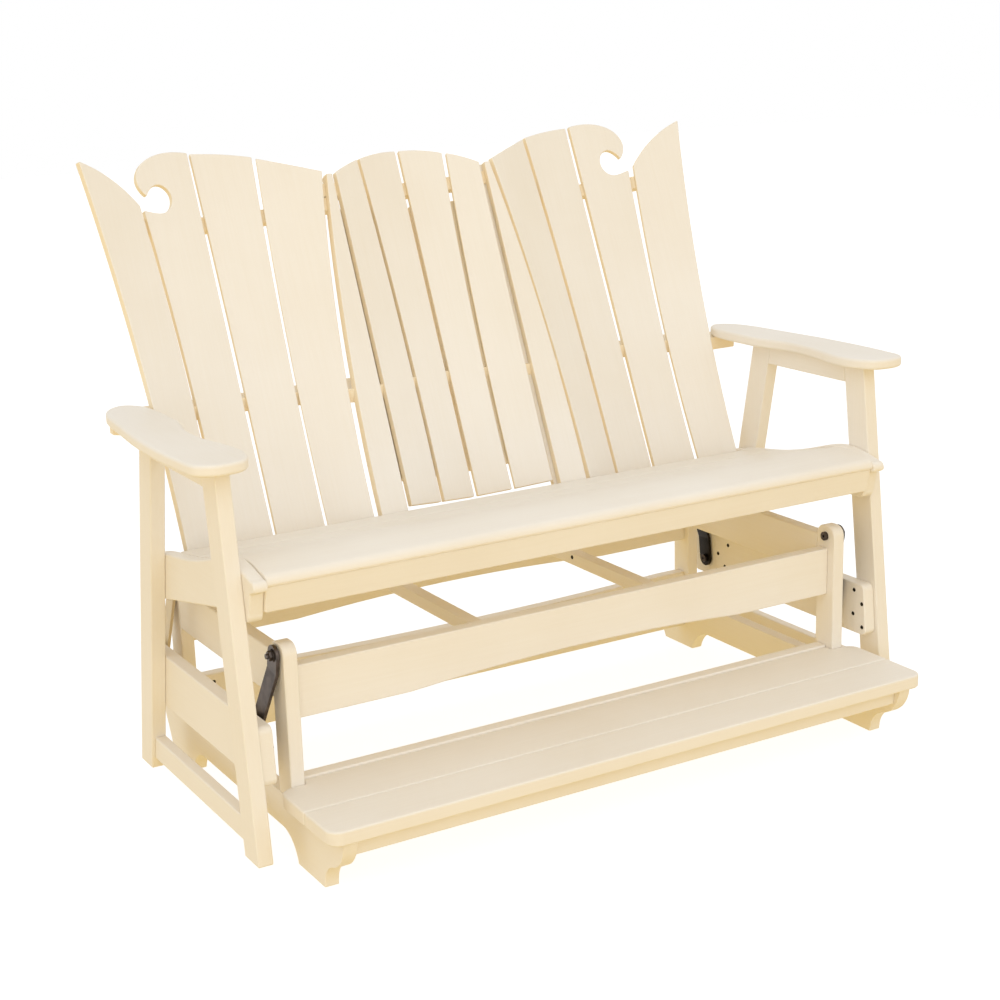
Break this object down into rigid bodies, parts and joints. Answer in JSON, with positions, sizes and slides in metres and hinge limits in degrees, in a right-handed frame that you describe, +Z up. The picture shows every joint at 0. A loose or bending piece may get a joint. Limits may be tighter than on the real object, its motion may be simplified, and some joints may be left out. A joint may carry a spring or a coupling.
{
  "type": "glider bench",
  "caption": "Slatted outdoor glider bench whose seat frame swings level on steel links from a fixed base with an attached foot board; scooped fan back with wave-shaped corners.",
  "frame": {"origin": "on the floor under the middle of the bench's overall box", "axes": "+X along the bench to the right of a viewer in front, +Y to the rear, +Z up"},
  "size_m": [1.6066, 1.0052, 1.2336],
  "materials": {
    "lumber": "matt cream poly lumber with a faint grain",
    "steel": "dark powder-coated steel"
  },
  "bodies": {
    "base": {"runner_left": "lumber", "runner_right": "lumber", "front_post_left": "lumber", "front_post_right": "lumber", "rear_post_left": "lumber", "rear_post_right": "lumber", "base_panels": "lumber", "front_rail": "lumber", "rear_upper_rail": "lumber", "rear_lower_rail": "lumber", "joists": "lumber", "foot_board_front": "lumber", "foot_board_rear": "lumber", "toe_rail": "lumber", "foot_apron": "lumber", "upper_pivot_bolts": "steel", "upper_pivot_nuts": "steel", "upper_pivot_washers": "steel", "base_screws": "steel"},
    "front_link_left": {"front_link_left": "steel"},
    "front_link_right": {"front_link_right": "steel"},
    "rear_link_left": {"rear_link_left": "steel"},
    "rear_link_right": {"rear_link_right": "steel"},
    "seat": {"arm_left": "lumber", "arm_level_rail": "lumber", "arm_right": "lumber", "back_curl_slat_left": "lumber", "back_curl_slat_right": "lumber", "back_fourth_slat_left": "lumber", "back_fourth_slat_right": "lumber", "back_outer_slat_left": "lumber", "back_outer_slat_right": "lumber", "back_third_slat_left": "lumber", "back_third_slat_right": "lumber", "back_uprights": "lumber", "bottom_stretchers": "lumber", "centre_inner_slats": "lumber", "centre_outer_slat_left": "lumber", "centre_outer_slat_right": "lumber", "centre_upper_rail": "lumber", "front_leg_left": "lumber", "front_leg_right": "lumber", "front_seat_slat": "lumber", "lower_back_rail": "lumber", "lower_pivot_bolts": "steel", "lower_pivot_spacers": "steel", "mid_rail_left": "lumber", "mid_rail_right": "lumber", "rear_leg_left": "lumber", "rear_leg_right": "lumber", "seat_apron": "lumber", "seat_rear_batten": "lumber", "seat_ribs": "lumber", "seat_screws": "steel", "seat_side_left": "lumber", "seat_side_right": "lumber", "seat_slats": "lumber", "side_upper_rails": "lumber", "under_arm_rails": "lumber", "wedge_slats": "lumber"}
  },
  "joints": [
    {"name": "front_link_left_swing", "type": "hinge", "parent": "base", "child": "front_link_left", "pos_m": [-0.6565, -0.2526, 0.395], "axis": [1, 0, 0], "range_deg": [-16, 16]},
    {"name": "front_link_right_swing", "type": "hinge", "parent": "base", "child": "front_link_right", "pos_m": [0.6565, -0.2526, 0.395], "axis": [1, 0, 0], "range_deg": [-16, 16]},
    {"name": "rear_link_left_swing", "type": "hinge", "parent": "base", "child": "rear_link_left", "pos_m": [-0.6565, 0.2664, 0.395], "axis": [1, 0, 0], "range_deg": [-15.61, 15.61]},
    {"name": "rear_link_right_swing", "type": "hinge", "parent": "base", "child": "rear_link_right", "pos_m": [0.6565, 0.2664, 0.395], "axis": [1, 0, 0], "range_deg": [-15.61, 15.61]},
    {"name": "seat_glide", "type": "hinge", "parent": "front_link_left", "child": "seat", "pos_m": [-0.681, -0.2106, 0.21678], "axis": [1, 0, 0], "range_deg": [-18.11, 18.11]}
  ],
  "couplings": [
    {"joint": "front_link_right_swing", "follows": "front_link_left_swing", "ratio": 1},
    {"joint": "rear_link_left_swing", "follows": "front_link_left_swing", "ratio": 0.9757},
    {"joint": "rear_link_right_swing", "follows": "front_link_left_swing", "ratio": 0.9757},
    {"joint": "seat_glide", "follows": "front_link_left_swing", "ratio": -1.1321}
  ]
}
